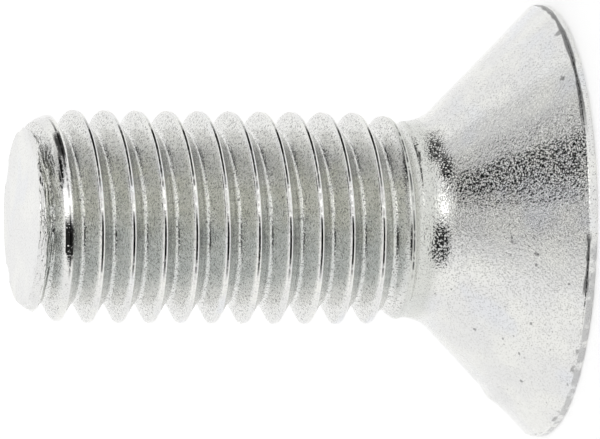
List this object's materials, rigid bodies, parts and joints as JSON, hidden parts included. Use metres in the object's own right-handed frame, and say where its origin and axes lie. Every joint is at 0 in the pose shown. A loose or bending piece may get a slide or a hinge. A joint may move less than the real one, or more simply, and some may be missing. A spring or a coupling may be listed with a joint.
{
  "type": "countersunk socket screw",
  "caption": "Countersunk head screw with a hexagon socket and a right-hand metric thread along its whole shank.",
  "frame": {"origin": "centre of the flat head face, which the screw stands on", "axes": "+Z along the screw's axis from the head to the tip; X and Y across it, with two corners of the hexagon socket on X"},
  "size_m": [0.0239, 0.0238, 0.0295],
  "materials": {
    "zinc_plate": "satin bright zinc plating over cold-forged steel"
  },
  "bodies": {
    "root": {"countersunk_socket_screw": "zinc_plate"}
  },
  "joints": []
}
